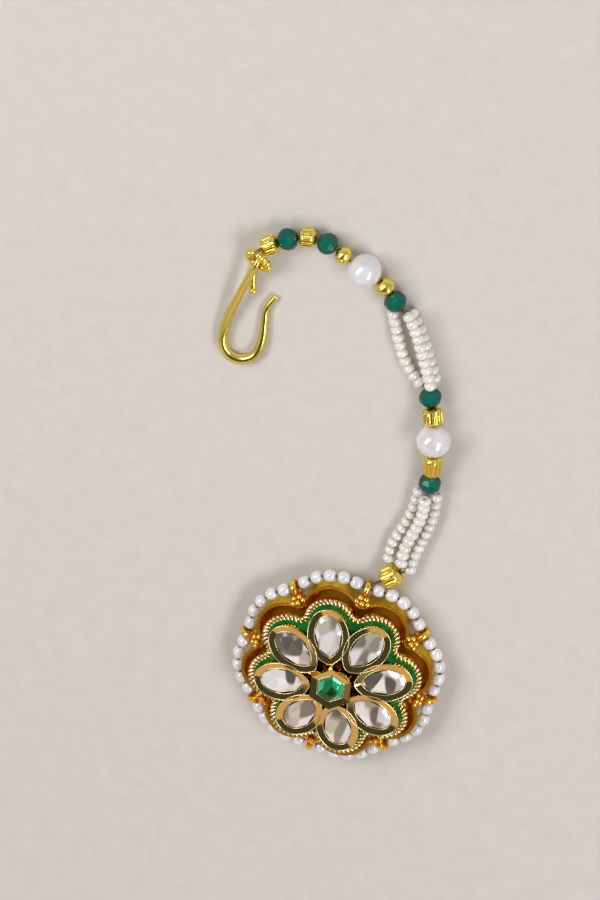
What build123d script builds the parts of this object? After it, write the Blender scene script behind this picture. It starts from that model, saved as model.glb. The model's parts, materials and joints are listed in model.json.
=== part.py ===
"""Maang tikka: a kundan flower pendant, its beaded string and its hair hook, in millimetres.

The origin is the centre of the pendant's flat back. +Z comes out of the flower's face, and +Y
points to the side loop that the string is tied to. The whole piece lies on the plane z = 0.
"""

from build123d import *

import os
from dataclasses import dataclass
from math import asin, atan2, cos, degrees, hypot, radians, sin, tan

# Pendant: eight petals, with a petal axis half a step from +Y
PETALS = 8
STEP = 360 / PETALS

# Stones and bezels of the petals
STONE_LENGTH = 7.7
STONE_HEAD = 3.8            # width across the round end
STONE_RADIUS_AT = 8.9       # distance of a petal stone's middle from the pendant's axis
STONE_PLANE = 8.95          # height of a petal bezel's edge at the stone's middle
PETAL_DROOP = 8.0           # degrees that a petal slopes down towards its tip
BEZEL_RIM = 1.25            # width of the polished rim round a stone
BEZEL_EDGE = 0.14           # flat on top of the rim's outer edge
BEZEL_SINK = 0.24           # how far the rim slopes down to the stone
STONE_GAP = 0.05
STONE_POCKET = 1.0

# Centre stone and its bezel, corners turned a little from +Y
HEX_CORNER = 2.6
HEX_BEZEL_CORNER = 4.05
HEX_TOP = 11.3
HEX_SINK = 0.22
HEX_MOAT = 3.9              # radius cleared round the stem, so the bezel's corners are soldered in
HEX_TURN = 103.0            # degrees from +X to a corner

# Flower plate and enamel
PLATE_UNDERSIDE = 6.0
PLATE_TOP = 6.6
CROWN_TOP = 8.0             # height of the enamel between the bezels
BEADED_LIP = 0.7            # width of the plate's outer lip, which carries the beaded edge
ENAMEL_THICKNESS = 0.36
ENAMEL_INNER_RADIUS = 9.1
SEAT_GAP = 0.03

# Tray
TRAY_RIM = 4.9
TRAY_FLOOR = 3.3
TRAY_WALL = 0.75
WALL_FOOT = 3.5             # height where the wall starts to flare
WALL_INSET = 0.8            # how far the upright wall stands in from the rim
FOOT_INSET = 1.2            # how far the flat back stands in from the rim
FOOT_HEIGHT = 0.5           # height of the bevel round the back
RIM_WALL = 0.6              # thickness of the wall at the rim
PEDESTAL_RADIUS = 9.0

# Side loops and granulation
LOOP_AT = 16.3
LOOP_HEIGHT = 2.8
LOOP_MAJOR = 1.15
LOOP_WIRE = 0.53
GRAIN = 0.55
STEM_FROM = 12.2            # distance from the axis where a loop's stem starts, inside the wall
GUSSET_AT = 14.1            # distance of the block under the grains
GUSSET_SIZE = (1.6, 2.2)
GRAIN_TURN = (35, 20, 0)    # keeps a grain's seam off the edges that it is soldered to

# Rim pearls
PEARLS_PER_SIDE = 5
RIM_PEARL_ACROSS = 2.4
RIM_PEARL_LONG = 2.2
RIM_PEARL_BORE = 0.7
RIM_THREAD = 0.3
LOOP_CLEARANCE = 0.42       # between a side loop's wire and the nearest pearl

# String
THREAD = 0.4
BEAD_BORE = 0.95
BEAD_END = 0.72             # radius of the flat end round a bead's bore
BEAD_GAP = 0.06             # clear space where two bead ends come nearest
TIE_WIRE = 0.26             # thread of the small loops at the string's two ends
TIE_LEAD = 0.45             # bare thread between the last bead and the end ring's loop
TIE_REACH = 0.7             # radius of those loops past the metal in them, in thread widths
TIE_TURN = 132.0            # where round the ring the thread is tied, from its level diameter
SEED_ACROSS = 2.25

# Hook and end ring
HOOK_WIRE = 1.25
RING_MAJOR = 1.95
RING_CORE = 0.5
RING_GRAIN = 0.72
RING_GRAINS = 12
RING_CENTRE = (-36.8, 70.55, 3.2)
RING_HEADING = -28.0        # heading of the ring's level diameter
RING_LEAN = 48.0            # degrees that the ring leans from upright

os.makedirs("parts", exist_ok=True)


def write(name, shape):
    """Write one node; a single solid is written bare, loose solids as a compound."""
    solids = shape.solids()
    body = solids[0] if len(solids) == 1 else Compound(children=list(solids))
    export_step(body, f"parts/{name}.step")


def polar(radius, angle, height=0.0):
    """Point at a radius and an angle in degrees from +X."""
    return Vector(radius * cos(radians(angle)), radius * sin(radians(angle)), height)


# ---------------------------------------------------------------- scalloped outlines
@dataclass
class Scallop:
    """Eight round lobes joined by eight round notches, all tangent."""

    tip: float              # radius at the tip of a lobe
    lobe: float             # radius of a lobe's arc
    notch: float            # radius of a notch's arc

    def centres(self):
        """Distances of the lobes' and the notches' centres from the axis."""
        lobe_at = self.tip - self.lobe
        half = radians(STEP / 2)
        reach = self.lobe + self.notch
        notch_at = lobe_at * cos(half) + (reach**2 - (lobe_at * sin(half)) ** 2) ** 0.5
        return lobe_at, notch_at

    def wire(self, offset, height):
        """Closed outline, moved outwards by offset, at a height."""
        lobe_at, notch_at = self.centres()
        lobe = self.lobe + offset
        notch = self.notch - offset
        arcs = []
        for k in range(PETALS):
            axis = 90 + STEP / 2 + k * STEP
            centre = polar(lobe_at, axis, height)
            before = polar(notch_at, axis - STEP / 2, height)
            after = polar(notch_at, axis + STEP / 2, height)
            following = polar(lobe_at, axis + STEP, height)
            start = centre + (before - centre).normalized() * lobe
            end = centre + (after - centre).normalized() * lobe
            leave = following + (after - following).normalized() * (self.lobe + offset)
            arcs.append(ThreePointArc(start, polar(lobe_at + lobe, axis, height), end))
            bottom = polar(notch_at - notch, axis + STEP / 2, height)
            arcs.append(ThreePointArc(end, bottom, leave))
        return Wire(arcs)

    def face(self, offset, height):
        return Face(self.wire(offset, height))


PLATE_OUTLINE = Scallop(tip=15.2, lobe=4.5, notch=0.9)
TRAY_OUTLINE = Scallop(tip=16.8, lobe=5.2, notch=0.9)
PEARL_PATH = Scallop(tip=17.6, lobe=8.5, notch=3.7)


def skirt(outline, low, high):
    """Solid between two offsets of an outline; low and high are (offset, height)."""
    return loft([outline.face(*low), outline.face(*high)], ruled=True)


# ---------------------------------------------------------------- pear outlines
HEAD_RADIUS = STONE_HEAD / 2
TIP_RADIUS = 0.12
FLANK_RADIUS = 4.7
HEAD_AT = STONE_LENGTH / 2 - HEAD_RADIUS
TIP_AT = -STONE_LENGTH / 2 + TIP_RADIUS


def flank_centre():
    """Centre of the arc that touches the head and the tip circle from outside, on the upper side."""
    to_head = FLANK_RADIUS - HEAD_RADIUS
    to_tip = FLANK_RADIUS - TIP_RADIUS
    span = HEAD_AT - TIP_AT
    along = (to_tip**2 - to_head**2 + span**2) / (2 * span)
    return TIP_AT + along, -((to_tip**2 - along**2) ** 0.5)


FLANK_AT = flank_centre()


def pear_corner(end_at, end_radius, offset):
    """Point where the upper flank meets an end circle."""
    away = (Vector(end_at, 0) - Vector(*FLANK_AT)).normalized()
    return Vector(end_at, 0) + away * (end_radius + offset)


def pear_flank_middle(offset):
    tip = pear_corner(TIP_AT, TIP_RADIUS, 0)
    head = pear_corner(HEAD_AT, HEAD_RADIUS, 0)
    centre = Vector(*FLANK_AT)
    away = ((tip + head) / 2 - centre).normalized()
    return centre + away * (FLANK_RADIUS + offset)


def mirrored(point):
    return Vector(point.X, -point.Y, point.Z)


def pear_face(offset, height):
    """Pear outline along X with its point at -X, moved outwards by offset."""
    lift = Vector(0, 0, height)
    tip = pear_corner(TIP_AT, TIP_RADIUS, offset)
    middle = pear_flank_middle(offset)
    head = pear_corner(HEAD_AT, HEAD_RADIUS, offset)
    nose = Vector(TIP_AT - TIP_RADIUS - offset, 0)
    crown = Vector(HEAD_AT + HEAD_RADIUS + offset, 0)
    arcs = [
        ThreePointArc(mirrored(head) + lift, crown + lift, head + lift),
        ThreePointArc(head + lift, middle + lift, tip + lift),
        ThreePointArc(tip + lift, nose + lift, mirrored(tip) + lift),
        ThreePointArc(mirrored(tip) + lift, mirrored(middle) + lift, mirrored(head) + lift),
    ]
    return Face(Wire(arcs))


def pear_polygon(inset, scale, height):
    """Twelve cornered pear for a cut stone, scaled about a point near its head."""
    shape_at = 0.1 * STONE_LENGTH
    head = []
    head_turn = degrees(atan2(-FLANK_AT[1], HEAD_AT - FLANK_AT[0]))
    for share in (0.0, 0.5, 1.0):
        turn = radians(head_turn * share)
        radius = HEAD_RADIUS - inset
        head.append(Vector(HEAD_AT + radius * cos(turn), radius * sin(turn)))
    flank = []
    tip = pear_corner(TIP_AT, TIP_RADIUS, -inset)
    centre = Vector(*FLANK_AT)
    start = head[-1] - centre
    for share in (0.33, 0.66):
        mix = start * (1 - share) + (tip - centre) * share
        flank.append(centre + mix.normalized() * (FLANK_RADIUS - inset))
    nose = [Vector(TIP_AT - TIP_RADIUS + inset, 0)]
    upper = head[1:] + flank
    corners = [head[0]] + upper + nose + [mirrored(p) for p in reversed(upper)]
    placed = [Vector(shape_at + (p.X - shape_at) * scale, p.Y * scale, height) for p in corners]
    return make_face(Polyline(*placed, close=True))


def hexagon(corner, height):
    points = [polar(corner, HEX_TURN + 60 * k, height) for k in range(6)]
    return make_face(Polyline(*points, close=True))


# ---------------------------------------------------------------- flower
def petal_plane(k):
    """Plane of a petal bezel's edge, with X pointing outwards."""
    angle = 90 + STEP / 2 + k * STEP
    droop = radians(PETAL_DROOP)
    out = polar(1, angle)
    return Plane(
        origin=polar(STONE_RADIUS_AT, angle, STONE_PLANE),
        x_dir=out * cos(droop) - Vector(0, 0, sin(droop)),
        z_dir=out * sin(droop) + Vector(0, 0, cos(droop)),
    )


def bezel_outer(extra, depth):
    return extrude(pear_face(BEZEL_RIM + extra, 0), -depth)


def bezel_hollow():
    """Sloping rim and the pocket that the stone sits in."""
    slope = loft([pear_face(BEZEL_RIM - BEZEL_EDGE, 0), pear_face(0, -BEZEL_SINK)], ruled=True)
    pocket = extrude(pear_face(0, -BEZEL_SINK), -STONE_POCKET)
    return slope + pocket


def petal_stone():
    """Pear stone: table, two rows of crown facets, a girdle and a plain back."""
    girdle = -BEZEL_SINK - STONE_GAP
    rows = [
        (0.80, girdle - STONE_POCKET + 2 * STONE_GAP),
        (1.00, girdle - 0.15),
        (1.00, girdle),
        (0.74, girdle + 0.20),
        (0.42, girdle + 0.31),
    ]
    faces = [pear_polygon(STONE_GAP, scale, height) for scale, height in rows]
    return Part() + [loft([a, b], ruled=True) for a, b in zip(faces, faces[1:])]


def centre_stone():
    girdle = HEX_TOP - HEX_SINK - STONE_GAP
    rows = [
        (0.75, girdle - STONE_POCKET),
        (1.00, girdle - 0.15),
        (1.00, girdle),
        (0.82, girdle + 0.17),
        (0.55, girdle + 0.25),
    ]
    corner = HEX_CORNER - STONE_GAP
    faces = [hexagon(corner * scale, height) for scale, height in rows]
    return Part() + [loft([a, b], ruled=True) for a, b in zip(faces, faces[1:])]


def hex_bezel():
    """Six sided bezel that stands on the plate, with a sloping rim and a pocket."""
    body = extrude(hexagon(HEX_BEZEL_CORNER, PLATE_TOP), HEX_TOP - PLATE_TOP)
    edge = BEZEL_EDGE / cos(radians(30))
    low = HEX_TOP - HEX_SINK
    rim = loft([hexagon(HEX_BEZEL_CORNER - edge, HEX_TOP), hexagon(HEX_CORNER, low)], ruled=True)
    pocket = extrude(hexagon(HEX_CORNER, low), -STONE_POCKET - 2 * STONE_GAP)
    return body - rim - pocket


def flower():
    """Plate, crown and bezels in one metal solid, and the enamel that lies on its slope."""
    lip = -BEADED_LIP
    top = lip - (CROWN_TOP - PLATE_TOP) / tan(radians(54))
    enamel_body = skirt(PLATE_OUTLINE, (lip, PLATE_TOP + SEAT_GAP), (top, CROWN_TOP))
    under = ENAMEL_THICKNESS
    core = skirt(PLATE_OUTLINE, (lip - under, PLATE_TOP), (top - under, CROWN_TOP - under))
    cleared = skirt(
        PLATE_OUTLINE,
        (lip - under + SEAT_GAP, PLATE_TOP + SEAT_GAP),
        (top - under + SEAT_GAP, CROWN_TOP - under + SEAT_GAP),
    )
    plate = extrude(PLATE_OUTLINE.face(0, PLATE_UNDERSIDE), PLATE_TOP - PLATE_UNDERSIDE)
    planes = [petal_plane(k) for k in range(PETALS)]
    depth = STONE_PLANE - PLATE_UNDERSIDE + 1
    bezels = [plane * bezel_outer(0, depth) for plane in planes]
    hollows = [plane * bezel_hollow() for plane in planes]
    below = Pos(0, 0, PLATE_UNDERSIDE) * Cylinder(
        PLATE_OUTLINE.tip + 2, 4, align=(Align.CENTER, Align.CENTER, Align.MAX)
    )
    metal = plate + core + bezels - hollows - below
    moat = Pos(0, 0, PLATE_TOP) * Cylinder(
        HEX_MOAT, HEX_TOP - PLATE_TOP, align=(Align.CENTER, Align.CENTER, Align.MIN)
    )
    metal = metal - moat + hex_bezel()
    inside = Cylinder(ENAMEL_INNER_RADIUS, 4 * CROWN_TOP)
    reliefs = [plane * bezel_outer(SEAT_GAP, depth) for plane in planes]
    enamel = enamel_body - cleared - inside - reliefs
    return metal, enamel


# ---------------------------------------------------------------- tray
def side_loop(k):
    """Upright wire loop at a notch of the tray, its stem and the grains soldered round it."""
    angle = 90 + k * STEP
    notch = Plane(origin=(0, 0, 0), x_dir=polar(1, angle))
    ring = Pos(LOOP_AT, 0, LOOP_HEIGHT) * Rot(X=90) * Torus(LOOP_MAJOR, LOOP_WIRE)
    stem_length = LOOP_AT - LOOP_MAJOR - STEM_FROM
    stem = Pos(STEM_FROM, 0, LOOP_HEIGHT) * Rot(Y=90) * Cylinder(
        LOOP_WIRE * 1.1, stem_length, align=(Align.CENTER, Align.CENTER, Align.MIN)
    )
    grain_height = LOOP_HEIGHT + LOOP_MAJOR + LOOP_WIRE
    spots = [
        (14.5, 0.95, 0.25), (14.5, -0.95, 0.25), (15.2, 0.5, 0.0), (15.2, -0.5, 0.0),
        (14.6, 0, 0.75),
    ]
    grains = [
        Pos(x, y, grain_height + z) * Rot(*GRAIN_TURN) * Sphere(GRAIN) for x, y, z in spots
    ]
    gusset = Pos(GUSSET_AT, 0, (grain_height + TRAY_FLOOR) / 2) * Box(
        *GUSSET_SIZE, grain_height - TRAY_FLOOR + 0.4
    )
    return notch * (ring + stem + gusset + grains)


def tray():
    foot = skirt(TRAY_OUTLINE, (-FOOT_INSET, 0), (-WALL_INSET, FOOT_HEIGHT))
    wall = extrude(TRAY_OUTLINE.face(-WALL_INSET, FOOT_HEIGHT), WALL_FOOT - FOOT_HEIGHT)
    flare = skirt(TRAY_OUTLINE, (-WALL_INSET, WALL_FOOT), (0, TRAY_RIM))
    inside = -WALL_INSET - TRAY_WALL
    hollow_low = extrude(TRAY_OUTLINE.face(inside, TRAY_FLOOR), WALL_FOOT - TRAY_FLOOR)
    hollow_high = skirt(TRAY_OUTLINE, (inside, WALL_FOOT), (-RIM_WALL, TRAY_RIM))
    pedestal = Pos(0, 0, TRAY_FLOOR) * Cylinder(
        PEDESTAL_RADIUS,
        PLATE_UNDERSIDE - SEAT_GAP - TRAY_FLOOR,
        align=(Align.CENTER, Align.CENTER, Align.MIN),
    )
    body = foot + wall + flare - hollow_low - hollow_high + pedestal
    for k in range(PETALS):
        body = body + side_loop(k)
    return body


# ---------------------------------------------------------------- rim pearls
def path_station(distance):
    """Point and heading on the pearls' path, by distance from the +Y notch, going clockwise."""
    lobe_at, notch_at = PEARL_PATH.centres()
    half = radians(STEP / 2)
    across = atan2(notch_at * sin(half), notch_at * cos(half) - lobe_at)
    notch_half = (across - half) * PEARL_PATH.notch
    lobe_half = across * PEARL_PATH.lobe
    side = 2 * (notch_half + lobe_half)
    k, along = divmod(distance, side)
    axis = 90 - k * STEP - STEP / 2
    if along < notch_half:
        turn = along / PEARL_PATH.notch
        centre = polar(notch_at, axis + STEP / 2)
        facing = radians(axis + STEP / 2) + turn
        point = centre - Vector(cos(facing), sin(facing)) * PEARL_PATH.notch
        heading = degrees(facing) - 90
    elif along > side - notch_half:
        turn = (side - along) / PEARL_PATH.notch
        centre = polar(notch_at, axis - STEP / 2)
        facing = radians(axis - STEP / 2) - turn
        point = centre - Vector(cos(facing), sin(facing)) * PEARL_PATH.notch
        heading = degrees(facing) - 90
    else:
        turn = (side / 2 - along) / PEARL_PATH.lobe
        facing = radians(axis) + turn
        point = polar(lobe_at, axis) + Vector(cos(facing), sin(facing)) * PEARL_PATH.lobe
        heading = degrees(facing) - 90
    return point + Vector(0, 0, LOOP_HEIGHT), heading, side


def along_x(heading, pitch=0.0):
    """Turn that lays a bead's axis, modelled along Z, on a heading and a pitch in degrees."""
    return Rot(Z=heading) * Rot(Y=90 - pitch)


def drilled_round(across, long, bore):
    """Round bead along Z, drawn in along its axis and drilled."""
    body = scale(Sphere(across / 2), by=(1, 1, long / across))
    return body - Cylinder(bore / 2, 2 * long)


def rim_pearls():
    _, _, side = path_station(0)
    margin = LOOP_WIRE + LOOP_CLEARANCE + RIM_PEARL_LONG / 2
    pitch = (side - 2 * margin) / (PEARLS_PER_SIDE - 1)
    pearls = []
    for k in range(PETALS):
        for n in range(PEARLS_PER_SIDE):
            point, heading, _ = path_station(k * side + margin + n * pitch)
            pearl = drilled_round(RIM_PEARL_ACROSS, RIM_PEARL_LONG, RIM_PEARL_BORE)
            pearls.append(Pos(*point) * along_x(heading) * pearl)
    return Compound(children=[solid for pearl in pearls for solid in pearl.solids()])


def rim_thread():
    path = PEARL_PATH.wire(0, LOOP_HEIGHT)
    start = path @ 0
    section = Plane(origin=start, z_dir=path % 0) * Circle(RIM_THREAD / 2)
    return sweep(section, path=path)


# ---------------------------------------------------------------- beads
@dataclass
class Bead:
    """One bead of the string: its kind, the heading of its axis and the thread's height past it."""

    node: str
    kind: str
    heading: float
    height: float


# kind: diameter, length
SIZES = {
    "green": (3.9, 3.5),
    "pearl": (6.0, 5.7),
    "melon": (3.4, 3.0),
    "large_melon": (4.0, 3.7),
    "cut": (3.2, 2.75),
    "dimpled": (3.4, 2.9),
    "rondelle": (3.6, 3.1),
    "barrel": (3.3, 4.1),
}


def faceted_bead(across, long):
    """Ten sided bead with five rows of facets."""
    end = BEAD_END / (across / 2)
    rows = [(-0.5, end), (-0.33, 0.78), (-0.12, 1.0), (0.12, 1.0), (0.33, 0.78), (0.5, end)]
    faces = [
        Plane(origin=(0, 0, z * long)) * RegularPolygon(across / 2 * share, 10)
        for z, share in rows
    ]
    return Part() + [loft([a, b], ruled=True) for a, b in zip(faces, faces[1:])]


def fluted_bead(across, long, shoulder):
    """Barrel bead with eleven round flutes; shoulder is the share of the length that is rounded."""
    flutes = 11
    ridge = across / 2 * 0.19
    ring = [Pos(*polar(across / 2 - ridge, 360 * k / flutes)) * Circle(ridge) for k in range(flutes)]
    star = Circle(across / 2 - ridge * 0.75) + ring
    prism = extrude(star, long / 2, both=True)
    rounding = shoulder * long
    half = long / 2
    radius = across / 2
    end = BEAD_END
    profile = [
        Line((0, -half), (end, -half)),
        ThreePointArc(
            (end, -half),
            (end + (radius - end) * 0.76, -half + rounding * 0.35),
            (radius, -half + rounding),
        ),
        Line((radius, -half + rounding), (radius, half - rounding)),
        ThreePointArc(
            (radius, half - rounding),
            (end + (radius - end) * 0.76, half - rounding * 0.35),
            (end, half),
        ),
        Line((end, half), (0, half)),
        Line((0, half), (0, -half)),
    ]
    barrel = revolve(Plane.XZ * make_face(Curve() + profile), Axis.Z)
    return prism & barrel


def dimpled_bead(across, long, rows, count):
    """Round bead with rows of shallow round cuts."""
    body = scale(Sphere(across / 2), by=(1, 1, long / across))
    cutter = across * 0.30
    cuts = []
    for row, tilt in enumerate(rows):
        for k in range(count):
            turn = 360 * (k + 0.5 * (row % 2)) / count
            reach = across / 2 * 0.92 + cutter
            flat = reach * cos(radians(tilt))
            cuts.append(Pos(*polar(flat, turn, reach * sin(radians(tilt)))) * Sphere(cutter))
    return body - cuts


def bead(kind):
    """Drilled bead of a kind, along Z."""
    across, long = SIZES[kind]
    if kind == "green":
        body = faceted_bead(across, long)
    elif kind == "pearl":
        body = scale(Sphere(across / 2), by=(1, 1, long / across))
    elif kind == "cut":
        body = dimpled_bead(across, long, (-26, 26), 6)
    elif kind == "dimpled":
        body = dimpled_bead(across, long, (0,), 7)
    elif kind == "rondelle":
        body = fluted_bead(across, long, 0.42)
    elif kind == "barrel":
        body = fluted_bead(across, long, 0.22)
    else:
        body = fluted_bead(across, long, 0.46)
    return body - Cylinder(BEAD_BORE / 2, 2 * long)


def thread_along(points):
    """Thread through a list of points: straight runs joined by arcs."""
    runs = [(b - a).length for a, b in zip(points, points[1:])]
    radii = []
    for n in range(1, len(points) - 1):
        before = points[n] - points[n - 1]
        after = points[n + 1] - points[n]
        half_turn = radians(before.get_angle(after)) / 2
        radii.append(0.45 * min(runs[n - 1], runs[n]) / tan(half_turn))
    path = FilletPolyline(*points, radius=radii) if radii else Line(*points)
    section = Plane(origin=path @ 0, z_dir=path % 0) * Circle(THREAD / 2)
    return sweep(section, path=path)


def end_room(turn):
    """Room that a bead leaves at an end where the string turns by an angle in degrees."""
    return BEAD_GAP / 2 + BEAD_END * tan(radians(abs(turn)) / 2)


def string_of_beads(start, beads):
    """Place beads end to end from a start point, and return them with the joints between them."""
    joints = [Vector(*start)]
    placed = {}
    heights = [start[2]] + [item.height for item in beads]
    slopes = [
        degrees(asin((high - low) / SIZES[item.kind][1]))
        for item, low, high in zip(beads, heights, heights[1:])
    ]
    turns = [0.0]
    for n in range(1, len(beads)):
        sideways = beads[n].heading - beads[n - 1].heading
        turns.append(hypot(sideways, slopes[n] - slopes[n - 1]))
    turns.append(0.0)
    for n, item in enumerate(beads):
        _, long = SIZES[item.kind]
        room = end_room(turns[n]), end_room(turns[n + 1])
        length = room[0] + long + room[1]
        rise = item.height - joints[-1].Z
        pitch = degrees(asin(rise / length))
        axis = polar(cos(radians(pitch)), item.heading, sin(radians(pitch)))
        middle = joints[-1] + axis * (room[0] + long / 2)
        placed[item.node] = Pos(*middle) * along_x(item.heading, pitch) * bead(item.kind)
        joints.append(joints[-1] + axis * length)
    return placed, joints


PENDANT_BEADS = [Bead("gold_bead_7", "large_melon", 50, 2.1)]

MIDDLE_BEADS = [
    Bead("green_bead_5", "green", 97, 2.1),
    Bead("gold_bead_6", "barrel", 101, 2.95),
    Bead("pearl_bead_2", "pearl", 107, 3.12),
    Bead("gold_bead_5", "rondelle", 114, 2.4),
    Bead("green_bead_4", "green", 121, 1.95),
]

HOOK_BEADS = [
    Bead("green_bead_3", "green", 132, 2.1),
    Bead("gold_bead_4", "dimpled", 142, 2.95),
    Bead("pearl_bead_1", "pearl", 164, 3.12),
    Bead("gold_bead_3", "cut", 163, 2.3),
    Bead("green_bead_2", "green", 172, 1.95),
    Bead("gold_bead_2", "melon", 197, 1.95),
    Bead("green_bead_1", "green", 220, 2.0),
    Bead("gold_bead_1", "melon", 222, 2.4),
]

PENDANT_START = (1.88, 18.55, 2.1)
MIDDLE_START = (3.95, 38.3, 1.95)
HOOK_START = (-11.4, 70.25, 1.95)

# Seed bead strands: the middle line of each, from the pendant's end to the hook's
STRANDS = {
    "strand_2_left": [
        (1.74, 22.02, 1.26), (1.3, 24.6, 1.14), (1.6, 27.3, 1.14), (2.25, 30.1, 1.14),
        (2.6, 32.9, 1.14), (2.65, 35.4, 1.2), (2.43, 38.1, 1.41),
    ],
    "strand_2_middle": [
        (4.1, 22.8, 2.75), (3.55, 25.2, 2.55), (3.75, 28.0, 2.5), (4.25, 30.8, 2.6),
        (4.45, 33.6, 2.7), (4.25, 35.9, 2.95), (3.86, 37.85, 3.4),
    ],
    "strand_2_right": [
        (5.84, 21.3, 1.21), (5.6, 23.9, 1.14), (5.7, 26.6, 1.14), (6.15, 29.5, 1.14),
        (6.3, 32.4, 1.14), (6.1, 35.0, 1.2), (5.52, 38.3, 1.43),
    ],
    "strand_1_left": [
        (-3.35, 57.4, 1.36), (-5.6, 58.85, 1.14), (-7.1, 60.2, 1.14), (-8.7, 62.3, 1.14),
        (-9.95, 64.5, 1.14), (-11.1, 66.6, 1.14), (-12.55, 69.35, 1.2),
    ],
    "strand_1_right": [
        (-1.6, 58.5, 3.5), (-3.2, 61.3, 3.52), (-4.75, 63.8, 3.52), (-6.2, 66.2, 3.52),
        (-7.65, 68.5, 3.52), (-10.0, 71.1, 3.6),
    ],
    "strand_1_under": [
        (-1.25, 58.95, 1.2), (-2.6, 61.05, 1.14), (-4.1, 63.3, 1.14), (-5.6, 65.7, 1.14),
        (-7.2, 68.0, 1.14), (-9.6, 70.5, 1.14),
    ],
}


def tube(points, across):
    """Round tube along straight runs with arcs as large as the runs allow, and its tightest arc."""
    corners = [Vector(*p) for p in points]
    runs = [(b - a).length for a, b in zip(corners, corners[1:])]
    radii = []
    for n in range(1, len(corners) - 1):
        turn = (corners[n] - corners[n - 1]).get_angle(corners[n + 1] - corners[n])
        radii.append(0.45 * min(runs[n - 1], runs[n]) / tan(radians(turn) / 2))
    path = FilletPolyline(*corners, radius=radii)
    section = Plane(origin=path @ 0, z_dir=path % 0) * Circle(across / 2)
    return sweep(section, path=path), path.length, min(radii)


# ---------------------------------------------------------------- hook and end ring
def ring_frame():
    """Plane of the end ring, with Y pointing to its high side."""
    level = polar(1, RING_HEADING)
    ahead = polar(1, RING_HEADING + 90)
    lean = radians(RING_LEAN)
    high = ahead * sin(lean) + Vector(0, 0, cos(lean))
    return Plane(origin=RING_CENTRE, x_dir=level, z_dir=level.cross(high))


def end_ring():
    ring = Torus(RING_MAJOR, RING_CORE)
    grains = [
        Pos(*polar(RING_MAJOR, 360 * k / RING_GRAINS)) * Sphere(RING_GRAIN)
        for k in range(RING_GRAINS)
    ]
    return ring_frame() * (ring + grains)


# Wire's middle line: from the closed end round the eye, down the shank, round the bend to the tip
HOOK_ROUTE = [
    (-35.95, 63.4, 1.15), (-36.75, 65.0, 0.66), (-36.95, 67.8, 0.64), (-36.8, 70.75, 0.64),
    (-36.85, 71.2, 3.0), (-36.95, 69.6, 3.62), (-37.35, 66.9, 3.0), (-37.85, 62.9, 2.3),
    (-38.35, 58.2, 1.55), (-38.45, 54.6, 0.95), (-37.9, 51.3, 0.64), (-36.1, 49.5, 0.64),
    (-33.9, 49.4, 0.64), (-31.9, 50.9, 0.64), (-31.4, 53.9, 0.64), (-32.2, 57.9, 0.64),
    (-32.95, 61.2, 0.64), (-31.7, 64.3, 0.64),
]


def hair_hook():
    body, length, radius = tube(HOOK_ROUTE, HOOK_WIRE)
    ends = [Pos(*HOOK_ROUTE[0]) * Sphere(HOOK_WIRE * 0.56), Pos(*HOOK_ROUTE[-1]) * Sphere(HOOK_WIRE / 2)]
    print(f"hook: wire {length:.1f} mm, tightest arc {radius:.2f} mm")
    return body + ends


def tie(centre, normal, major):
    """Small loop of thread that ties an end of the string on."""
    return Plane(origin=centre, z_dir=normal) * Torus(major, TIE_WIRE / 2)


def main():
    metal, enamel = flower()
    write("flower_setting", metal)
    write("green_enamel", enamel)
    for k in range(PETALS):
        write(f"petal_stone_{k + 1}", petal_plane(k) * petal_stone())
    write("centre_stone", centre_stone())
    write("pendant_base", tray())
    write("rim_pearls", rim_pearls())
    write("rim_thread", rim_thread())

    pendant, pendant_joints = string_of_beads(PENDANT_START, PENDANT_BEADS)
    middle, middle_joints = string_of_beads(MIDDLE_START, MIDDLE_BEADS)
    hook, hook_joints = string_of_beads(HOOK_START, HOOK_BEADS)
    for placed in (pendant, middle, hook):
        for node, shape in placed.items():
            write(node, shape)
    write("thread_middle", thread_along(middle_joints))

    loop_wire = polar(LOOP_AT + LOOP_MAJOR, 90, LOOP_HEIGHT)
    reach = LOOP_WIRE + TIE_REACH * TIE_WIRE
    leave = loop_wire + polar(reach, 20)
    lead = thread_along([leave] + pendant_joints)
    write("thread_pendant", lead + tie(loop_wire, Vector(0, 0, 1), reach))

    frame = ring_frame()
    spot = radians(TIE_TURN)
    outward = frame.x_dir * cos(spot) + frame.y_dir * sin(spot)
    along = frame.y_dir * cos(spot) - frame.x_dir * sin(spot)
    tied = frame.origin + outward * RING_MAJOR
    reach = RING_GRAIN + TIE_REACH * TIE_WIRE
    outside = hook_joints[-1] + (hook_joints[-1] - hook_joints[-2]).normalized() * TIE_LEAD
    towards = outside - tied
    towards = towards - along * towards.dot(along)
    arrive = tied + towards.normalized() * (reach + TIE_WIRE / 4)
    lead = thread_along(hook_joints[:-1] + [outside, arrive])
    write("thread_hook", lead + tie(tied, along, reach))

    write("end_ring", end_ring())
    write("hair_hook", hair_hook())
    for node, points in STRANDS.items():
        body, length, radius = tube(points, SEED_ACROSS)
        write(node, body)
        print(f"{node}: {length:.1f} mm long, tightest arc {radius:.2f} mm")


main()
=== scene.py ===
"""Looks of the maang tikka: metals, stones, enamel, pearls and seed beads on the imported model."""

import json
import math
import random

import bmesh
import bpy
from mathutils import Matrix, Vector


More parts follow.
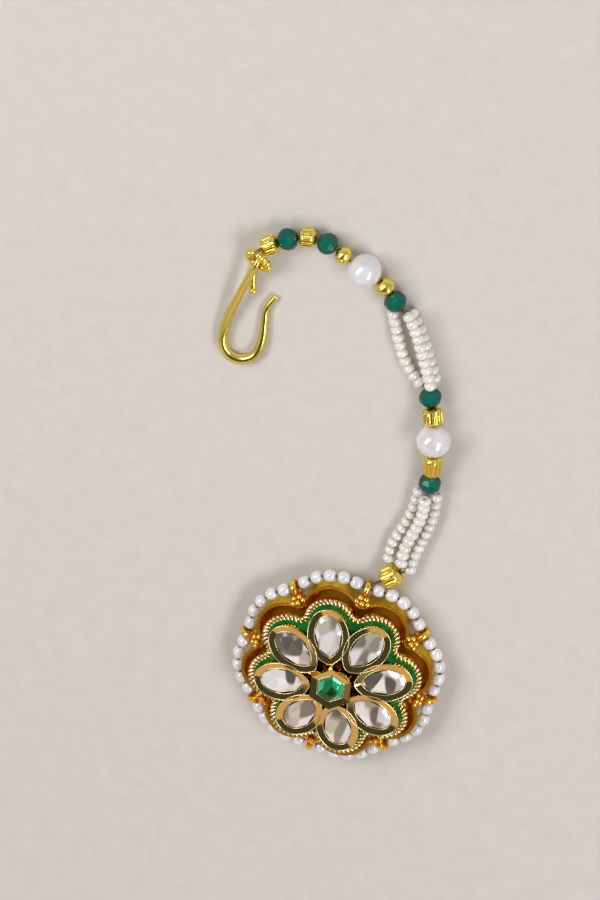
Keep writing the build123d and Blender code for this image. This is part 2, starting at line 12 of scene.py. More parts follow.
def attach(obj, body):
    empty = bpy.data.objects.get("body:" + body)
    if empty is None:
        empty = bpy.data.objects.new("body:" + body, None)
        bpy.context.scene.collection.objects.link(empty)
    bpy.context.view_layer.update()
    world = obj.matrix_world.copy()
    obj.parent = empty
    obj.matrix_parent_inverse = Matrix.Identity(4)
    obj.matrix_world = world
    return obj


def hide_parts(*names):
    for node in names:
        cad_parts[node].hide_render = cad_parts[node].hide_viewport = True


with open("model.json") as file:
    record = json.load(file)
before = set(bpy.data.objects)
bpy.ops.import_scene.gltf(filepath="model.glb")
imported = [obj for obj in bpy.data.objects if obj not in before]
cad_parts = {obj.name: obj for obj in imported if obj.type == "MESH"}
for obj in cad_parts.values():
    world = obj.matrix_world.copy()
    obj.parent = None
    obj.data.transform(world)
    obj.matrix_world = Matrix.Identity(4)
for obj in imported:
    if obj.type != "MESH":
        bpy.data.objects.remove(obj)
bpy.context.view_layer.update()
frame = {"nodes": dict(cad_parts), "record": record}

MM = 0.001

# Camera: long lens on the string's side of the piece, 59 degrees above the floor, rolled
VIEW_RIGHT = Vector((0.938, 0.296, -0.178))
VIEW_UP = Vector((-0.345, 0.804, -0.483))
VIEW_BACK = Vector((0.0, 0.515, 0.857))
LENS = 700.0
SENSOR = 36.0
PICTURE_WIDTH = 600
PICTURE_HEIGHT = 900
PIXELS_PER_MM = 5.8
ORIGIN_AT = (340.2, 655.9)      # where the origin falls in the render, across and down
FAR_CLIP = 10.0

# Floor, lights and walls, in metres
FLOOR_SIZE = 1.5
LIT_MIDDLE = Vector((-0.010, 0.035, 0.004))     # what the lights face
LIGHT_DISTANCE = 0.6
LIGHT_LONG = 0.55
SLANT = VIEW_RIGHT * 0.85 + VIEW_UP * 0.5
# Each softbox: direction, short side, power and the direction of its long side
SOFTBOXES = {
    "soft_left": ((-0.647, 0.267, 0.713), 0.20, 1.9, SLANT),
    "soft_right": ((0.66, 0.04, 0.75), 0.16, 1.7, VIEW_UP),
}
# Each patch of wall: its direction, and the cosines from which it shows and where it is full
DARK_PATCH = ((0.0, -0.26, 0.966), 0.74, 0.80)
WARM_WALL = ((0.0, -0.906, 0.423), 0.85, 0.87)

WELD = 0.0005                   # millimetres within which corners are joined
CURVE_STEPS = 24                # points to a control point of a smooth curve
WIRE_ROUNDNESS = 2              # bevel steps of a round wire

# Seed beads, in millimetres
SEED_ACROSS = 2.25
SEED_LONG = 1.55
SEED_PITCH = 1.56
SEED_BORE = 0.5
SEED_SIDES = 16
SEED_STEPS = 11                 # points of a seed's outline, from bore to bore
SEED_FULLNESS = 0.62            # half thickness of a seed's ring, as a share of its half width
SEED_TILT = 0.10                # how far a seed may lean on its thread
SEED_LEAST = (0.94, 0.9)        # smallest seed, as shares of the full width and length
STRAND_THREAD = 0.3

# Pearls of the rim, in millimetres
RIM_TIP = 17.6
RIM_LOBE = 8.5
RIM_NOTCH = 3.7
RIM_HEIGHT = 2.8
RIM_MARGIN = 2.05               # from the middle of a side loop to the middle of the next pearl
RIM_ACROSS = 2.4
RIM_LONG = 2.2
RIM_BORE = 0.7
RIM_STEPS = 13                  # points of a rim pearl's outline
RIM_TILT = 0.14                 # how far a rim pearl may lean on its thread
RIM_LEAST = (0.92, 0.86)        # smallest rim pearl, as shares of the full width and length
PEARLS_PER_SIDE = 5

# Large pearls, in millimetres
PEARL_ACROSS = 6.0
PEARL_LONG = 5.7
PEARL_CUTS = (48, 32)           # sides round the bore and rings along it

# Beaded edge of the flower plate, in millimetres
PLATE_TIP = 15.2
PLATE_LOBE = 4.5
PLATE_NOTCH = 0.9
PETALS = 8
PLATE_TOP = 6.6
EDGE_INSET = 0.58
EDGE_GRAIN = (0.3, 0.8, 0.36)   # half sizes along the edge, across it and up
EDGE_CUTS = (8, 5)              # a grain's sides and rings
EDGE_PITCH = 0.74
EDGE_RAISE = 0.15               # height of a grain's middle over the plate
EDGE_SLANT = 0.55               # radians that a grain turns from straight across
LOBE_STEPS = 24                 # runs of the outline round a lobe
NOTCH_STEPS = 4                 # and round half a notch

# Petal bezels and centre bezel, in millimetres
STONE_LENGTH = 7.7
STONE_HEAD = 3.8                # width across the round end
STONE_TIP = 0.12
FLANK = 4.7                     # radius of the sides
STONE_RADIUS_AT = 8.9
STONE_PLANE = 8.95
PETAL_DROOP = math.radians(8)
BEZEL_RIM = 1.25
BEZEL_SINK = 0.24
HEX_CORNER = 2.6
HEX_BEZEL_CORNER = 4.05
HEX_TOP = 11.3
HEX_SINK = 0.22
HEX_TURN = math.radians(103)
OUTER_WIRE = 0.09               # radius of the bright bead round a bezel's outer edge
INNER_WIRE = 0.07               # and round its stone
INNER_SPREAD = 0.6              # how far that bead lies out from a petal stone, in its own radii
INNER_LIFT = 0.02               # and how far it lies above the sunk edge of any stone
PEAR_STEPS = 14                 # runs of a petal stone's outline in each arc
HEX_STEPS = 6                   # runs in each side of the centre stone's outline

# Wire of the hook, from its closed end round the eye, down the shank and round the bend: its
# middle line, raised a little where it is hammered thick, and its diameter there
HOOK_WIRE = [
    ((-35.95, 63.4, 1.15), 1.1), ((-36.75, 65.0, 0.66), 1.1), ((-36.95, 67.8, 0.64), 1.1),
    ((-36.8, 70.75, 0.64), 1.1), ((-36.85, 71.2, 3.0), 1.15), ((-36.95, 69.6, 3.62), 1.15),
    ((-37.35, 66.9, 3.0), 1.25), ((-37.85, 62.9, 2.3), 1.4), ((-38.35, 58.2, 1.55), 1.45),
    ((-38.45, 54.6, 1.05), 1.6), ((-37.9, 51.3, 0.92), 1.8), ((-36.1, 49.5, 0.92), 1.8),
    ((-33.9, 49.4, 0.92), 1.8), ((-31.9, 50.9, 0.88), 1.7), ((-31.4, 53.9, 0.82), 1.6),
    ((-32.2, 57.9, 0.7), 1.35), ((-33.0, 60.9, 0.64), 1.1), ((-31.95, 63.4, 0.64), 0.85),
]
HOOK_END_BALL = 1.4             # diameter of the drop at the wire's closed end
HOOK_BALL_CUTS = (16, 12)       # sides and rings of the balls at the wire's ends

# Ends of the strands' threads: the bores of the beads that they gather in
PENDANT_END = (4.30, 21.43, 2.1)
MIDDLE_NEAR = (3.95, 38.3, 1.95)
MIDDLE_FAR = (-2.20, 57.75, 1.95)
HOOK_NEAR = (-11.4, 70.25, 1.95)

# Middle lines of the seed bead strands, in millimetres, as the model's own
STRANDS = {
    "strand_2_left": (PENDANT_END, MIDDLE_NEAR, [
        (1.74, 22.02, 1.26), (1.3, 24.6, 1.14), (1.6, 27.3, 1.14), (2.25, 30.1, 1.14),
        (2.6, 32.9, 1.14), (2.65, 35.4, 1.2), (2.43, 38.1, 1.41),
    ]),
    "strand_2_middle": (PENDANT_END, MIDDLE_NEAR, [
        (4.1, 22.8, 2.75), (3.55, 25.2, 2.55), (3.75, 28.0, 2.5), (4.25, 30.8, 2.6),
        (4.45, 33.6, 2.7), (4.25, 35.9, 2.95), (3.86, 37.85, 3.4),
    ]),
    "strand_2_right": (PENDANT_END, MIDDLE_NEAR, [
        (5.84, 21.3, 1.21), (5.6, 23.9, 1.14), (5.7, 26.6, 1.14), (6.15, 29.5, 1.14),
        (6.3, 32.4, 1.14), (6.1, 35.0, 1.2), (5.52, 38.3, 1.43),
    ]),
    "strand_1_left": (MIDDLE_FAR, HOOK_NEAR, [
        (-3.35, 57.4, 1.36), (-5.6, 58.85, 1.14), (-7.1, 60.2, 1.14), (-8.7, 62.3, 1.14),
        (-9.95, 64.5, 1.14), (-11.1, 66.6, 1.14), (-12.55, 69.35, 1.2),
    ]),
    "strand_1_right": (MIDDLE_FAR, HOOK_NEAR, [
        (-1.6, 58.5, 3.5), (-3.2, 61.3, 3.52), (-4.75, 63.8, 3.52), (-6.2, 66.2, 3.52),
        (-7.65, 68.5, 3.52), (-10.0, 71.1, 3.6),
    ]),
    "strand_1_under": (MIDDLE_FAR, HOOK_NEAR, [
        (-1.25, 58.95, 1.2), (-2.6, 61.05, 1.14), (-4.1, 63.3, 1.14), (-5.6, 65.7, 1.14),
        (-7.2, 68.0, 1.14), (-9.6, 70.5, 1.14),
    ]),
}

# Large pearls: centre in millimetres and the direction of the bore
PEARLS = {
    "pearl_bead_1": ((-19.254, 75.745, 3.037), (-0.9609, 0.2755, 0.0281)),
    "pearl_bead_2": ((1.841, 48.857, 3.036), (-0.2923, 0.9559, 0.0286)),
}


# ---------------------------------------------------------------- materials
def linear(code, alpha=1.0):
    """Linear colour of an sRGB hex code."""
    channels = [int(code[i:i + 2], 16) / 255 for i in (1, 3, 5)]
    flat = [c / 12.92 if c <= 0.04045 else ((c + 0.055) / 1.055) ** 2.4 for c in channels]
    return (*flat, alpha)


def feed(tree, socket, value):
    """Link an input to an output, or set it."""
    if isinstance(value, bpy.types.NodeSocket):
        tree.links.new(value, socket)
    else:
        socket.default_value = value


def fill(tree, node, **inputs):
    """Set or link a node's inputs by name, with _ for each space."""
    for key, value in inputs.items():
        feed(tree, node.inputs[key.replace("_", " ")], value)


def add_node(tree, kind, settings=None, **inputs):
    """Add a node, set its properties, and set or link its inputs by name."""
    node = tree.nodes.new(kind)
    for key, value in (settings or {}).items():
        setattr(node, key, value)
    fill(tree, node, **inputs)
    return node


def vector_math(tree, operation, *operands):
    """Result of a vector operation on outputs or fixed vectors."""
    node = add_node(tree, "ShaderNodeVectorMath", {"operation": operation})
    for socket, operand in zip(node.inputs, operands):
        feed(tree, socket, operand)
    return node.outputs["Value" if operation == "DOT_PRODUCT" else "Vector"]


def new_material(name):
    """Empty material with its output and Principled shader."""
    made = bpy.data.materials.new(name)
    made.use_nodes = True
    tree = made.node_tree
    tree.nodes.clear()
    shader = add_node(tree, "ShaderNodeBsdfPrincipled")
    add_node(tree, "ShaderNodeOutputMaterial", Surface=shader.outputs["BSDF"])
    place = add_node(tree, "ShaderNodeTexCoord").outputs["Object"]
    return made, tree, shader, place


def ramp(tree, factor, *stops):
    """Colour ramp through (position, hex) stops."""
    node = add_node(tree, "ShaderNodeValToRGB", Fac=factor)
    elements = node.color_ramp.elements
    elements[0].position, elements[0].color = stops[0][0], linear(stops[0][1])
    elements[1].position, elements[1].color = stops[-1][0], linear(stops[-1][1])
    for position, code in stops[1:-1]:
        elements.new(position).color = linear(code)
    return node.outputs["Color"]


def grain(tree, place, size_mm, detail=2.0):
    """Noise whose features are about size_mm across."""
    scale = 1 / (size_mm * MM)
    return add_node(tree, "ShaderNodeTexNoise", Vector=place, Scale=scale, Detail=detail)


def bump(tree, height, strength, depth_mm):
    """Normal of a surface that a pattern raises by up to depth_mm."""
    return add_node(
        tree, "ShaderNodeBump", Height=height, Strength=strength, Distance=depth_mm * MM
    ).outputs["Normal"]


def spread(tree, factor, low, high, start=0.0, end=1.0):
    """Turn a pattern that runs from start to end into a range, such as of roughness."""
    return add_node(
        tree, "ShaderNodeMapRange", Value=factor,
        From_Min=start, From_Max=end, To_Min=low, To_Max=high,
    ).outputs["Result"]


def outwards(tree, place):
    """Share that is low where a surface faces the pendant's axis and full where it faces away, used
    as a mask for painted shade.
    """
    face = add_node(tree, "ShaderNodeNewGeometry").outputs["Normal"]
    away = vector_math(tree, "NORMALIZE", place)
    return spread(tree, vector_math(tree, "DOT_PRODUCT", face, away), 0.15, 1.0, 0.1, 0.6)


def gold(
    name, deep, tone, light, rough, dent_mm, dent, reach_mm=0.7, shade_metal=1.0, shade_inward_faces=False
):
    """Gold flash on brass with painted shade: darker, more orange and less metallic in the creases
    and recesses that ambient occlusion finds, and on faces turned to the pendant's axis when asked,
    with a fine unevenness.
    """
    made, tree, shader, place = new_material(name)
    cloud = grain(tree, place, 1.1).outputs["Fac"]
    # painted shade: ambient occlusion picks out creases and recesses, which take the deep, less
    # metallic colour
    open_face = add_node(
        tree, "ShaderNodeAmbientOcclusion", {"samples": 8}, Distance=reach_mm * MM
    ).outputs["AO"]
    # painted shade also on faces that turn towards the pendant's axis, such as the inside of the
    # tray's wall
    if shade_inward_faces:
        both = add_node(tree, "ShaderNodeMath", {"operation": "MULTIPLY"})
        feed(tree, both.inputs[0], open_face)
        feed(tree, both.inputs[1], outwards(tree, place))
        open_face = both.outputs["Value"]
    uneven = grain(tree, place, dent_mm).outputs["Fac"]
    fill(
        tree, shader,
        Base_Color=ramp(tree, open_face, (0.15, deep), (0.6, tone), (0.95, light)),
        Metallic=spread(tree, open_face, shade_metal, 1.0),
        Specular_Tint=linear(light),
        Roughness=spread(tree, cloud, rough * 0.8, rough * 1.3),
        Normal=bump(tree, uneven, dent, 0.03),
    )
    return made


def green_enamel():
    """Fired vitreous enamel: glassy green, deeper where it lies thick."""
    made, tree, shader, place = new_material("vitreous_enamel")
    cloud = grain(tree, place, 1.2, 3.0).outputs["Fac"]
    fill(
        tree, shader,
        Base_Color=ramp(tree, cloud, (0.3, "#004A14"), (0.7, "#007A2C")),
        Normal=bump(tree, cloud, 0.3, 0.05),
        Roughness=0.1, IOR=1.52, Specular_IOR_Level=0.25,
    )
    return made


def foiled_stone(name, dark, shade, middle, bright, patch_mm, metal):
    """Cut glass on silver foil, with painted reflections: large soft patches, each leaning its own
    way and each painted its own brightness from dark to bright, under a clear top.
    """
    made, tree, shader, place = new_material(name)
    drawn = add_node(
        tree, "ShaderNodeMapping", Vector=place, Rotation=(0, 0, 0.7), Scale=(1, 0.5, 1)
    )
    cells = add_node(
        tree, "ShaderNodeTexVoronoi", {"feature": "SMOOTH_F1"},
        Vector=drawn.outputs["Vector"], Scale=1 / (patch_mm * MM), Smoothness=0.4,
    )
    lean = vector_math(tree, "SUBTRACT", cells.outputs["Color"], (0.5, 0.5, 0.5))
    slight = add_node(tree, "ShaderNodeVectorMath", {"operation": "SCALE"}, Vector=lean, Scale=0.5)
    face = add_node(tree, "ShaderNodeNewGeometry").outputs["Normal"]
    total = vector_math(tree, "ADD", face, slight.outputs["Vector"])
    # painted reflection: each patch's random share picks a colour from dark to bright, standing in
    # for the light its facet throws back; the green stone's hue is its own
    own = add_node(tree, "ShaderNodeSeparateColor", Color=cells.outputs["Color"]).outputs["Red"]
    fill(
        tree, shader,
        Base_Color=ramp(tree, own, (0.1, dark), (0.3, shade), (0.55, middle), (0.8, bright)),
        Normal=vector_math(tree, "NORMALIZE", total),
        Metallic=metal, Roughness=0.12, Coat_Weight=1.0, Coat_Roughness=0.02,
    )
    return made


def green_glass():
    """Pressed and fire polished glass: deep teal body that light passes through."""
    made, tree, shader, place = new_material("fire_polished_glass")
    cloud = grain(tree, place, 2.0).outputs["Fac"]
    # painted shade: the body colour darkens towards the bead's edges as the camera sees them
    edge = add_node(tree, "ShaderNodeLayerWeight", Blend=0.35).outputs["Facing"]
    fill(
        tree, shader,
        Base_Color=ramp(tree, edge, (0.0, "#058472"), (0.3, "#036252"), (0.7, "#002A24")),
        Roughness=spread(tree, cloud, 0.04, 0.1),
        IOR=1.52, Specular_IOR_Level=0.25, Transmission_Weight=0.35,
    )
    return made


def nacre(name, shade, light, cloud_mm, rough):
    """Pearl coating over a glass bead: satin body under a clear lustre."""
    made, tree, shader, place = new_material(name)
    cloud = grain(tree, place, cloud_mm, 3.0).outputs["Fac"]
    fill(
        tree, shader,
        Base_Color=ramp(tree, cloud, (0.35, shade), (0.65, light)),
        Roughness=spread(tree, cloud, rough, rough + 0.08),
        Normal=bump(tree, cloud, 0.1, 0.02),
        Subsurface_Weight=0.15, Subsurface_Scale=1.0,
        Subsurface_Radius=(0.9 * MM, 0.8 * MM, 0.7 * MM),
        Coat_Weight=1.0, Coat_Roughness=0.1, Coat_IOR=2.0,
    )
    return made


def waxed_thread():
    """Twisted nylon beading thread, waxed: dull, with its plies showing as fine slanting lines."""
    made, tree, shader, place = new_material("waxed_nylon_thread")
    plies = add_node(
        tree, "ShaderNodeTexWave", {"bands_direction": "DIAGONAL"}, Vector=place, Scale=200.0
    ).outputs["Fac"]
    fill(
        tree, shader,
        Base_Color=ramp(tree, plies, (0.2, "#5F4A2C"), (0.8, "#9A8258")),
        Normal=bump(tree, plies, 0.5, 0.03),
        Roughness=0.65,
    )
    return made


def floor_card():
    """Matte pale card, with a very faint tooth."""
    made, tree, shader, place = new_material("matte_card")
    tooth = grain(tree, place, 3.0).outputs["Fac"]
    body = ramp(tree, tooth, (0.3, "#D8D2CC"), (0.7, "#DCD7D1"))
    fill(tree, shader, Base_Color=body, Roughness=0.85)
    return made


FINISHES = {
    "gold_plate": gold(
        "cast_gold_plate", "#D27A1C", "#F5BA38", "#FCDE6C", 0.14, 0.5, 0.2, 0.9, 0.5, True
    ),
    "polished_gold": gold("polished_gold_plate", "#A8641C", "#E6BE62", "#EFCF7C", 0.05, 2.0, 0.03),
    "stamped_gold": gold("stamped_gold_plate", "#C07C16", "#F3CC4C", "#FBE274", 0.25, 0.4, 0.2),
    "drawn_gold": gold("drawn_gold_wire", "#C8901E", "#F2D860", "#F9E67C", 0.2, 1.5, 0.12),
    "beaded_gold": gold("beaded_gold_wire", "#C79A50", "#F4DFA0", "#FBEDC0", 0.16, 0.4, 0.15),
    "green_enamel": green_enamel(),
    "clear_stone": foiled_stone(
        "foiled_clear_stone", "#716860", "#CDBFAA", "#F0ECEE", "#FFFFFF", 1.9, 0.25
    ),
    "green_stone": foiled_stone(
        "foiled_green_stone", "#00200E", "#004A24", "#007A3C", "#50D894", 1.5, 0.6
    ),
    "green_glass": green_glass(),
    "pearl_white": nacre("pearl_coated_glass", "#E2DFE3", "#F1EFF1", 2.5, 0.22),
    "rim_white": nacre("pearl_coated_rim_glass", "#E6E3E8", "#F7F5F7", 1.6, 0.16),
    "seed_white": nacre("pearl_coated_seed_glass", "#ECE7DC", "#F9F5EC", 2.0, 0.15),
    "thread": waxed_thread(),
}

# Gold parts whose surface is worked differently from the cast tray's
WORKED = {"flower_setting": "polished_gold", "hair_hook": "drawn_gold", "end_ring": "stamped_gold"}

for part in frame["record"]["subparts"]:
    node = part["node"]
    worked = "stamped_gold" if node.startswith("gold_bead") else part["material_slot"]
    mesh = frame["nodes"][node].data
    mesh.materials.clear()
    mesh.materials.append(FINISHES[WORKED.get(node, worked)])


# ---------------------------------------------------------------- shaping tools
def finished(bm, name, slot, *finishes):
    """Turn a bmesh in millimetres into a piece in metres that rides on the root."""
    bmesh.ops.remove_doubles(bm, verts=bm.verts, dist=WELD)
    bmesh.ops.recalc_face_normals(bm, faces=bm.faces)
    bmesh.ops.scale(bm, vec=(MM, MM, MM), verts=bm.verts)
    mesh = bpy.data.meshes.new(name)
    bm.to_mesh(mesh)
    bm.free()
    for face in mesh.polygons:
        face.use_smooth = True
    for used in finishes or (slot,):
        mesh.materials.append(FINISHES[used])
    piece = bpy.data.objects.new(name, mesh)
    bpy.context.scene.collection.objects.link(piece)
    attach(piece, "root")
    return piece


def turned_to(direction):
    """Turn that takes +Z to a direction."""
    return Vector(direction).to_track_quat("Z", "Y").to_matrix().to_4x4()


def add_round(bm, centre, direction, across, long, sides, rings):
    """Ball at a centre, made longer or shorter along its bore."""
    size = Matrix.Diagonal((across / 2, across / 2, long / 2, 1))
    place = Matrix.Translation(centre) @ turned_to(direction) @ size
    bmesh.ops.create_uvsphere(bm, u_segments=sides, v_segments=rings, radius=1, matrix=place)


def add_seed(bm, centre, direction, across, long, bore, sides, steps):
    """Drilled seed bead: a rounded ring whose ends dip towards the bore, spun about its bore."""
    thick = across / 2 * SEED_FULLNESS
    middle = across / 2 - thick
    start = math.acos(max(-1.0, (bore / 2 - middle) / thick))
    place = Matrix.Translation(centre) @ turned_to(direction)
    outline = []
    for n in range(steps):
        turn = start * (1 - 2 * n / (steps - 1))
        height = long / 2 * math.sin(turn) / max(math.sin(start), 0.99)
        outline.append(bm.verts.new(place @ Vector((middle + thick * math.cos(turn), 0, height))))
    edges = [bm.edges.new(pair) for pair in zip(outline, outline[1:] + outline[:1])]
    bmesh.ops.spin(
        bm, geom=outline + edges, cent=centre, axis=place.to_3x3() @ Vector((0, 0, 1)),
        angle=2 * math.pi, steps=sides, use_merge=True,
    )


def curve_mesh(points, widths=(0.0,), kind="NURBS", closed=False):
    """Mesh of a curve through control points in millimetres, round where it has a width."""
    data = bpy.data.curves.new("route", "CURVE")
    data.dimensions = "3D"
    data.resolution_u = CURVE_STEPS
    spline = data.splines.new(kind)
    spline.points.add(len(points) - 1)
    for n, (knot, point) in enumerate(zip(spline.points, points)):
        knot.co = (*point, 1)
        knot.radius = widths[min(n, len(widths) - 1)] / 2
    spline.order_u = 3
    spline.use_endpoint_u = True
    spline.use_cyclic_u = closed
    if widths[0]:
        data.bevel_depth = 1.0
        data.bevel_resolution = WIRE_ROUNDNESS
        data.use_fill_caps = True
    route = bpy.data.objects.new("route", data)
    mesh = bpy.data.meshes.new_from_object(route)
    bpy.data.objects.remove(route)
    return mesh


def add_wire(bm, points, widths, kind="NURBS", closed=False):
    """Round wire along a curve; returns its faces."""
    mesh = curve_mesh(points, widths, kind, closed)
    before = len(bm.faces)
    bm.from_mesh(mesh)
    bpy.data.meshes.remove(mesh)
    bm.faces.ensure_lookup_table()
    return bm.faces[before:]


def route_points(points):
    """Points along the smooth line of a route, in millimetres."""
    mesh = curve_mesh(points)
    found = [v.co.copy() for v in mesh.vertices]
    bpy.data.meshes.remove(mesh)
    return found


def stations(line, pitch, margin=0.0):
    """Points and directions along a line, evenly from margin to margin, near a pitch apart."""
    runs = [(b - a).length for a, b in zip(line, line[1:])]
    span = sum(runs) - 2 * margin
    count = round(span / pitch) + 1
    for n in range(count):
        left = margin + span * n / (count - 1)
        for a, b, run in zip(line, line[1:], runs):
            if left <= run:
                break
            left -= run
        else:
            left = run
        yield a + (b - a) * (left / run), (b - a).normalized()


# ---------------------------------------------------------------- seed bead strands
def seed_strand(node, near, far, route, chance):
    """One strand: seed beads on their thread, which runs into the beads at both ends."""
    bm = bmesh.new()
    for centre, direction in stations(route_points(route), SEED_PITCH, SEED_LONG / 2):
        lean = Vector([chance.uniform(-SEED_TILT, SEED_TILT) for _ in range(3)])
        across = SEED_ACROSS * chance.uniform(SEED_LEAST[0], 1.0)
        long = SEED_LONG * chance.uniform(SEED_LEAST[1], 1.0)
        add_seed(bm, centre, direction + lean, across, long, SEED_BORE, SEED_SIDES, SEED_STEPS)
    for face in add_wire(bm, [near, *route, far], (STRAND_THREAD,)):
        face.material_index = 1
    piece = finished(bm, "seed_" + node, "seed_white", "seed_white", "thread")
    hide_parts(node)


chance = random.Random(7)
for node, (near, far, route) in STRANDS.items():
    seed_strand(node, near, far, route, chance)


# ---------------------------------------------------------------- large pearls
def large_pearl(node, centre, bore):
    """Large pearl in the place of the model's own."""
    bm = bmesh.new()
    add_round(bm, centre, bore, PEARL_ACROSS, PEARL_LONG, *PEARL_CUTS)
    piece = finished(bm, "round_" + node, "pearl_white")
    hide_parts(node)


for node, (centre, bore) in PEARLS.items():
    large_pearl(node, centre, bore)


# ---------------------------------------------------------------- hair hook
bm = bmesh.new()
line = [point for point, _ in HOOK_WIRE]
widths = [width for _, width in HOOK_WIRE]
add_wire(bm, line, widths)
for centre, width in ((line[0], HOOK_END_BALL), (line[-1], widths[-1])):
    add_round(bm, centre, (0, 0, 1), width, width, *HOOK_BALL_CUTS)
piece = finished(bm, "hook_wire", "gold_plate", "drawn_gold")
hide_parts("hair_hook")


# ---------------------------------------------------------------- pendant's edges
def scallop(tip, lobe, notch, inset, first=0, last=PETALS):
    """Points round a scalloped outline, moved inwards, from one notch to another."""
    half = math.pi / PETALS
    lobe_at = tip - lobe
    reach = lobe + notch
    notch_at = lobe_at * math.cos(half) + math.sqrt(reach**2 - (lobe_at * math.sin(half)) ** 2)
    open_turn = math.atan2(notch_at * math.sin(half), notch_at * math.cos(half) - lobe_at)
    swing = open_turn - half
    points = []
    for k in range(first, last):
        axis = math.pi / 2 + half + k * 2 * half
        before = Vector((notch_at * math.cos(axis - half), notch_at * math.sin(axis - half), 0))
        after = Vector((notch_at * math.cos(axis + half), notch_at * math.sin(axis + half), 0))
        centre = Vector((lobe_at * math.cos(axis), lobe_at * math.sin(axis), 0))
        for n in range(NOTCH_STEPS):
            turn = axis - half + math.pi - swing * n / NOTCH_STEPS
            points.append(before + Vector((math.cos(turn), math.sin(turn), 0)) * (notch + inset))
        for n in range(LOBE_STEPS + 1):
            turn = axis + open_turn * (2 * n / LOBE_STEPS - 1)
            points.append(centre + Vector((math.cos(turn), math.sin(turn), 0)) * (lobe - inset))
        for n in reversed(range(NOTCH_STEPS)):
            turn = axis + half + math.pi + swing * n / NOTCH_STEPS
            points.append(after + Vector((math.cos(turn), math.sin(turn), 0)) * (notch + inset))
    return points


bm = bmesh.new()
outline = scallop(PLATE_TIP, PLATE_LOBE, PLATE_NOTCH, EDGE_INSET)
for centre, direction in stations(outline, EDGE_PITCH, EDGE_PITCH / 2):
    heading = math.atan2(direction.y, direction.x) + EDGE_SLANT
    raised = centre + Vector((0, 0, PLATE_TOP + EDGE_RAISE))
    size = Matrix.Diagonal((*EDGE_GRAIN, 1))
    place = Matrix.Translation(raised) @ Matrix.Rotation(heading, 4, "Z") @ size
    bmesh.ops.create_uvsphere(
        bm, u_segments=EDGE_CUTS[0], v_segments=EDGE_CUTS[1], radius=1, matrix=place
    )
finished(bm, "beaded_edge", "gold_plate", "beaded_gold")


def rim_pearl_beads(chance):
    """Drilled pearls round the tray, five between each two side loops, a little uneven."""
    bm = bmesh.new()
    for k in range(PETALS):
        side = scallop(RIM_TIP, RIM_LOBE, RIM_NOTCH, 0, k, k + 1)
        length = sum((b - a).length for a, b in zip(side, side[1:]))
        pitch = (length - 2 * RIM_MARGIN) / (PEARLS_PER_SIDE - 1)
        for centre, direction in stations(side, pitch, RIM_MARGIN):
            lean = Vector([chance.uniform(-RIM_TILT, RIM_TILT) for _ in range(3)])
            across = RIM_ACROSS * chance.uniform(RIM_LEAST[0], 1.0)
            long = RIM_LONG * chance.uniform(RIM_LEAST[1], 1.0)
            raised = centre + Vector((0, 0, RIM_HEIGHT))
            add_seed(
                bm, raised, direction + lean, across, long, RIM_BORE, SEED_SIDES, RIM_STEPS
            )
    piece = finished(bm, "pearls_of_the_rim", "pearl_white", "rim_white")
    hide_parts("rim_pearls")


rim_pearl_beads(chance)


# ---------------------------------------------------------------- bezels' bright edges
def pear(offset, height):
    """Points round a petal stone's outline, moved outwards, in the petal's own plane."""
    head = STONE_HEAD / 2
    head_at = STONE_LENGTH / 2 - head
    tip_at = STONE_TIP - STONE_LENGTH / 2
    span = head_at - tip_at
    along = ((FLANK - STONE_TIP) ** 2 - (FLANK - head) ** 2 + span**2) / (2 * span)
    flank_at = (tip_at + along, -math.sqrt((FLANK - STONE_TIP) ** 2 - along**2))
    head_turn = math.atan2(-flank_at[1], head_at - flank_at[0])
    tip_turn = math.atan2(-flank_at[1], tip_at - flank_at[0])
    arcs = (
        (head_at, 0, head, 0, head_turn),
        (*flank_at, FLANK, head_turn, tip_turn),
        (tip_at, 0, STONE_TIP, tip_turn, math.pi),
    )
    upper = []
    for x, y, radius, start, end in arcs:
        for n in range(PEAR_STEPS):
            turn = start + (end - start) * n / PEAR_STEPS
            r = radius + offset
            upper.append(Vector((x + r * math.cos(turn), y + r * math.sin(turn), height)))
    upper.append(Vector((tip_at - STONE_TIP - offset, 0, height)))
    return upper + [Vector((p.x, -p.y, p.z)) for p in reversed(upper[1:-1])]


bm = bmesh.new()
for k in range(PETALS):
    angle = math.pi / 2 + (k + 0.5) * 2 * math.pi / PETALS
    out = Vector((math.cos(angle), math.sin(angle), 0))
    x_dir = out * math.cos(PETAL_DROOP) - Vector((0, 0, math.sin(PETAL_DROOP)))
    z_dir = out * math.sin(PETAL_DROOP) + Vector((0, 0, math.cos(PETAL_DROOP)))
    middle = out * STONE_RADIUS_AT + Vector((0, 0, STONE_PLANE))
    turn = Matrix((x_dir, z_dir.cross(x_dir), z_dir)).transposed()
    outer = [middle + turn @ p for p in pear(BEZEL_RIM - OUTER_WIRE, 0.0)]
    seat = pear(INNER_WIRE * INNER_SPREAD, -BEZEL_SINK + INNER_LIFT)
    inner = [middle + turn @ p for p in seat]
    add_wire(bm, outer, (2 * OUTER_WIRE,), "POLY", True)
    add_wire(bm, inner, (2 * INNER_WIRE,), "POLY", True)
for corner, height, radius in (
    (HEX_BEZEL_CORNER - OUTER_WIRE, HEX_TOP - OUTER_WIRE, OUTER_WIRE),
    (HEX_CORNER + INNER_WIRE, HEX_TOP - HEX_SINK + INNER_LIFT, INNER_WIRE),
):
    turns = [HEX_TURN + k * math.pi / 3 for k in range(6)]
    corners = [Vector((corner * math.cos(t), corner * math.sin(t), height)) for t in turns]
    sides = zip(corners, corners[1:] + corners[:1])
    line = [a.lerp(b, n / HEX_STEPS) for a, b in sides for n in range(HEX_STEPS)]
    add_wire(bm, line, (2 * radius,), "POLY", True)
finished(bm, "bezel_edges", "gold_plate", "beaded_gold")


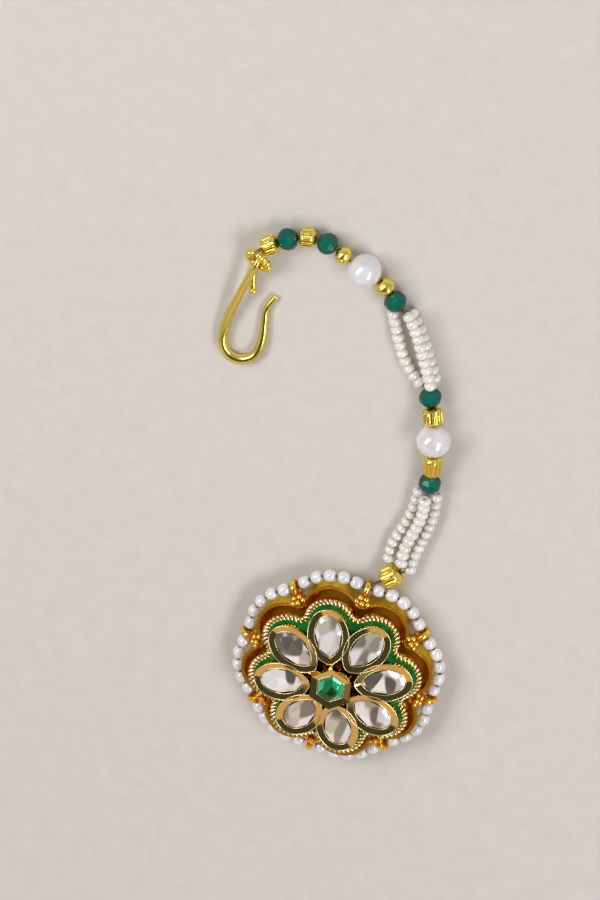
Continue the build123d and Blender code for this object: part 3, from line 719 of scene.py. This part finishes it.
# ---------------------------------------------------------------- floor, light and camera
def softbox(name, direction, short, power, along):
    """White rectangular light that faces the piece, its long side turned to a direction."""
    data = bpy.data.lights.new(name, "AREA")
    data.shape = "RECTANGLE"
    data.size = LIGHT_LONG
    data.size_y = short
    data.energy = power
    data.color = linear("#FFFFFF")[:3]
    lamp = bpy.data.objects.new(name, data)
    aim = Vector(direction).normalized()
    x_dir = (Vector(along) - aim * Vector(along).dot(aim)).normalized()
    turn = Matrix((x_dir, aim.cross(x_dir), aim)).transposed().to_4x4()
    lamp.matrix_world = Matrix.Translation(LIT_MIDDLE + aim * LIGHT_DISTANCE) @ turn
    bpy.context.scene.collection.objects.link(lamp)


for name, (aim, short, power, along) in SOFTBOXES.items():
    softbox(name, aim, short, power, along)

# Studio round the piece: grey walls, a dark patch overhead and a low warm wall beyond the pendant
world = bpy.data.worlds.new("studio")
bpy.context.scene.world = world
world.use_nodes = True
tree = world.node_tree
tree.nodes.clear()
direction = add_node(tree, "ShaderNodeTexCoord").outputs["Generated"]


def towards(aim, start, end):
    """Share that rises from 0 to 1 as a direction nears an aim."""
    return spread(tree, vector_math(tree, "DOT_PRODUCT", direction, aim), 0.0, 1.0, start, end)


def blend(share, first, second):
    """Mix of two backgrounds."""
    node = add_node(tree, "ShaderNodeMixShader", Fac=share)
    tree.links.new(first, node.inputs[1])
    tree.links.new(second, node.inputs[2])
    return node.outputs["Shader"]


def backdrop(code):
    """Background of one colour."""
    return add_node(tree, "ShaderNodeBackground", Color=linear(code)).outputs["Background"]


room = blend(towards(*DARK_PATCH), backdrop("#ABABAC"), backdrop("#454B4A"))
room = blend(towards(*WARM_WALL), room, backdrop("#D8BEAE"))
add_node(tree, "ShaderNodeOutputWorld", Surface=room)

bm = bmesh.new()
bmesh.ops.create_grid(bm, x_segments=1, y_segments=1, size=FLOOR_SIZE)
mesh = bpy.data.meshes.new("floor")
bm.to_mesh(mesh)
bm.free()
mesh.materials.append(floor_card())
floor = bpy.data.objects.new("floor", mesh)
bpy.context.scene.collection.objects.link(floor)

aside = (PICTURE_WIDTH / 2 - ORIGIN_AT[0]) / PIXELS_PER_MM
above = (ORIGIN_AT[1] - PICTURE_HEIGHT / 2) / PIXELS_PER_MM
distance = LENS / SENSOR * PICTURE_HEIGHT / PIXELS_PER_MM
eye = (VIEW_RIGHT * aside + VIEW_UP * above + VIEW_BACK * distance) * MM
lens = bpy.data.cameras.new("camera")
lens.lens = LENS
lens.sensor_width = SENSOR
lens.clip_end = FAR_CLIP
camera = bpy.data.objects.new("camera", lens)
axes = Matrix((VIEW_RIGHT, VIEW_UP, VIEW_BACK)).transposed()
camera.matrix_world = Matrix.Translation(eye) @ axes.to_4x4()
bpy.context.scene.collection.objects.link(camera)
bpy.context.scene.camera = camera
bpy.context.scene.view_settings.view_transform = "Standard"
